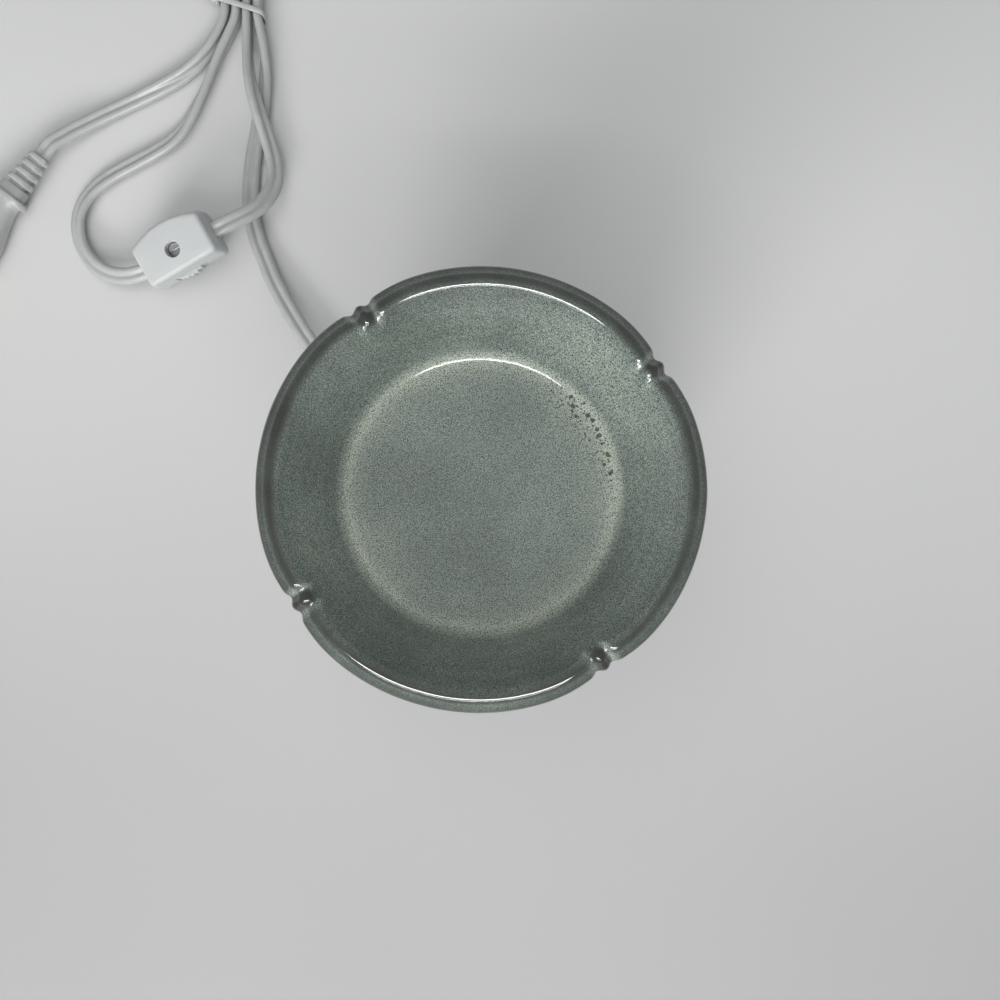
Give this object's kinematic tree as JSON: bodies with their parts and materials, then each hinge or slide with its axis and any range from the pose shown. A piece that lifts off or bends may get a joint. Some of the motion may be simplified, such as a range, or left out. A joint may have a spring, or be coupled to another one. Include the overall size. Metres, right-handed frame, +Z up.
{
  "type": "wax melt warmer",
  "caption": "electric wax melt warmer: a glazed dish with a notched lip lifts off a stoneware shell over a small bulb; flat lead with rotary switch and plug",
  "frame": {"origin": "on the surface it stands on, under the axis of the dish", "axes": "+Z up along the dish's axis; the picture's right is +X and its top is +Y; the lead leaves the foot at 138 degrees from +X towards +Y"},
  "size_m": [0.2994, 0.3953, 0.1153],
  "materials": {
    "glaze": "glossy speckled grey-green glaze",
    "pad_felt": "matt",
    "socket_phenolic": "satin",
    "brass": "satin",
    "copper": "satin",
    "zinc_steel": "satin",
    "cushion_rubber": "matt",
    "white_vinyl": "satin",
    "bulb_glass": "clear gloss",
    "nickel": "satin",
    "black_glass": "glossy",
    "solder": "satin",
    "clear_glass": "clear gloss",
    "tungsten": "satin",
    "tie_plastic": "satin",
    "white_plastic": "satin",
    "dark_steel": "satin"
  },
  "bodies": {
    "base": {"body_shell": "glaze", "foot_pads": "pad_felt", "socket_body": "socket_phenolic", "screw_shell": "brass", "centre_contact": "brass", "socket_wires": "copper", "threaded_nipple": "zinc_steel", "lock_nut": "zinc_steel", "clamp_washer": "zinc_steel", "cushion_washer": "cushion_rubber", "strain_relief": "white_vinyl", "inner_lead": "white_vinyl", "lead_from_body": "white_vinyl", "lead_loop": "white_vinyl", "lead_to_switch": "white_vinyl", "lead_from_switch": "white_vinyl", "lead_coil": "white_vinyl", "lead_to_plug": "white_vinyl", "bundle_tie": "tie_plastic", "coil_tie": "tie_plastic", "switch_base": "white_plastic", "switch_cover": "white_plastic", "switch_screw": "dark_steel", "switch_nut": "zinc_steel", "switch_contacts": "brass", "plug_body": "white_vinyl", "blade_wide": "brass", "blade_narrow": "brass"},
    "dish": {"dish": "glaze"},
    "bulb": {"bulb_glass": "bulb_glass", "bulb_cap": "nickel", "bulb_insulator": "black_glass", "bulb_tip": "solder", "bulb_stem": "clear_glass", "bulb_filament": "tungsten"},
    "wheel": {"thumb_wheel": "white_plastic"}
  },
  "joints": [
    {"name": "dish_lift", "type": "slide", "parent": "base", "child": "dish", "axis": [0, 0, 1], "range_m": [0, 0.06]},
    {"name": "bulb_turn", "type": "hinge", "parent": "base", "child": "bulb", "pos_m": [0, 0, 0.05], "axis": [0, 0, 1], "range_deg": [0, 1440]},
    {"name": "wheel_turn", "type": "hinge", "parent": "base", "child": "wheel", "pos_m": [-0.1215, 0.1036, 0.01254], "axis": [-0.1119, -0.2326, 0.9661], "continuous": true}
  ]
}
